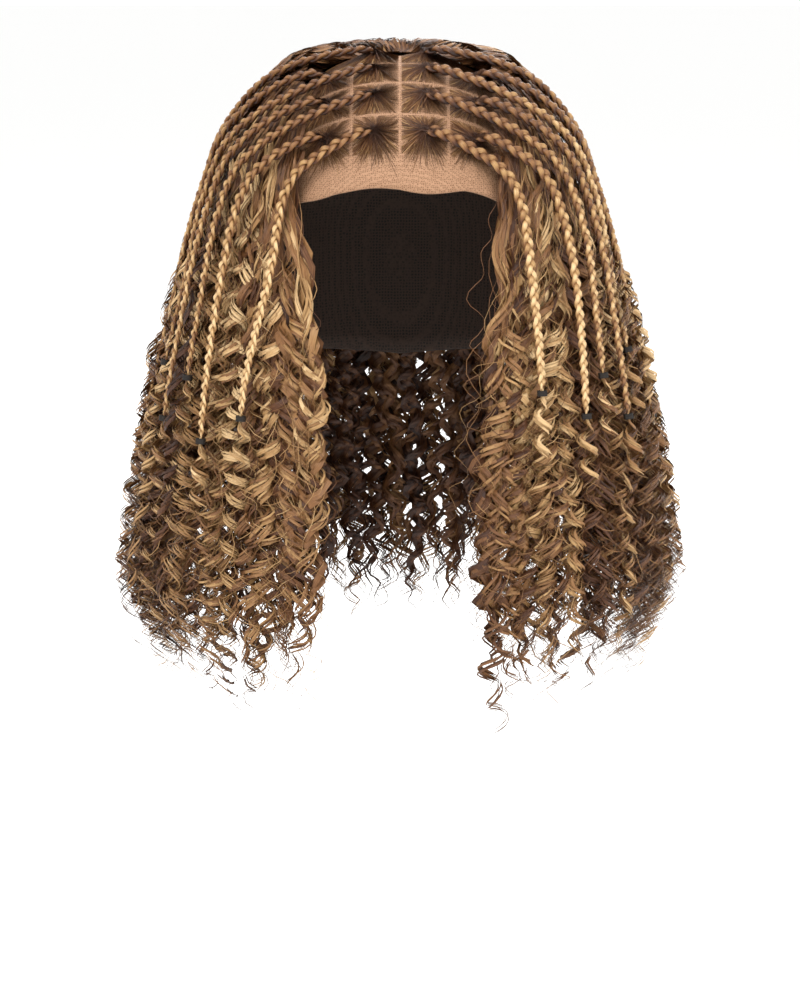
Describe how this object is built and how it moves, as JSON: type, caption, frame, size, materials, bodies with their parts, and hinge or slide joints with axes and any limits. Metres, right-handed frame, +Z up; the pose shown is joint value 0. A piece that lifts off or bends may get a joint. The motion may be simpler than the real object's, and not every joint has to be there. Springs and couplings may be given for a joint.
{
  "type": "braid wig",
  "caption": "Shoulder-length curly wig on a lace front cap, its front parted into squares that each feed a slim box braid ending in a loose curl.",
  "frame": {"origin": "middle of the cap's inner top, where a head carries the wig", "axes": "+Z up, -Y the face side, +X to the right of the picture"},
  "size_m": [0.2852, 0.2383, 0.322],
  "materials": {
    "lace": "sheer tan knotting lace",
    "cap_net": "matt stretch net",
    "loose_hair": "soft shine, curled, brown with honey blonde streaks",
    "braid_hair": "soft shine, plaited, brown and honey blonde",
    "elastic": "matt, wound round each braid's end"
  },
  "bodies": {
    "root": {"lace_front": "lace", "cap_net": "cap_net", "hair_crown": "loose_hair", "hair_left_front": "loose_hair", "hair_left_side": "loose_hair", "hair_left_back": "loose_hair", "hair_back": "loose_hair", "hair_right_back": "loose_hair", "hair_right_side": "loose_hair", "hair_right_front": "loose_hair", "braid_left_1": "braid_hair", "braid_left_2": "braid_hair", "braid_left_3": "braid_hair", "braid_left_4": "braid_hair", "braid_left_5": "braid_hair", "braid_left_6": "braid_hair", "braid_left_7": "braid_hair", "braid_right_1": "braid_hair", "braid_right_2": "braid_hair", "braid_right_3": "braid_hair", "braid_right_4": "braid_hair", "braid_right_5": "braid_hair", "braid_right_6": "braid_hair", "braid_right_7": "braid_hair", "elastic_left_1": "elastic", "elastic_left_2": "elastic", "elastic_left_3": "elastic", "elastic_left_4": "elastic", "elastic_left_5": "elastic", "elastic_left_6": "elastic", "elastic_left_7": "elastic", "elastic_right_1": "elastic", "elastic_right_2": "elastic", "elastic_right_3": "elastic", "elastic_right_4": "elastic", "elastic_right_5": "elastic", "elastic_right_6": "elastic", "elastic_right_7": "elastic"}
  },
  "joints": []
}
